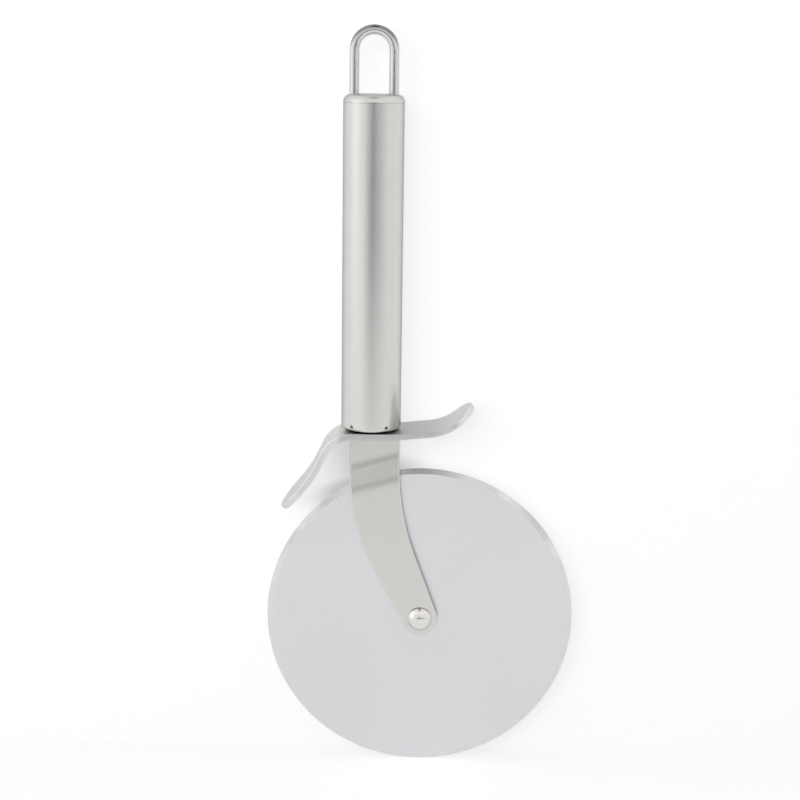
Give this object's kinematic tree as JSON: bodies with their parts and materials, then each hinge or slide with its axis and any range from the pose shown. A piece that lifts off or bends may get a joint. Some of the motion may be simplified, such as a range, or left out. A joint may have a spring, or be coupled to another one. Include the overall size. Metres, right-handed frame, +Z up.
{
  "type": "wheel pizza cutter",
  "caption": "Pizza cutter with a round blade that turns on a rivet, one curved arm, an S-shaped finger guard and a tubular handle with a hanging loop.",
  "frame": {"origin": "the hook's seat: the inner top of the wire loop, on the handle's axis", "axes": "+X to the right as seen from the rivet's domed side, +Y away from that side, +Z up along the handle"},
  "size_m": [0.1, 0.019, 0.2397],
  "materials": {
    "handle_steel": "brushed round the handle, satin",
    "strip_steel": "satin with softly rounded edges",
    "blade_steel": "fine satin face with a ground bevel",
    "polished_steel": "polished",
    "washer_nylon": "plain natural nylon"
  },
  "bodies": {
    "handle": {"handle_tube": "handle_steel", "handle_cap": "handle_steel", "hanging_loop": "polished_steel", "handle_plug": "strip_steel", "tang_pin": "strip_steel", "guard": "strip_steel", "wheel_arm": "strip_steel", "axle_rivet": "polished_steel", "axle_sleeve": "polished_steel", "front_washer": "washer_nylon", "rear_washer": "washer_nylon"},
    "wheel": {"blade": "blade_steel"}
  },
  "joints": [
    {"name": "blade_spin", "type": "hinge", "parent": "handle", "child": "wheel", "pos_m": [0.01655, 0.001, -0.1867], "axis": [0, 1, 0], "continuous": true}
  ]
}
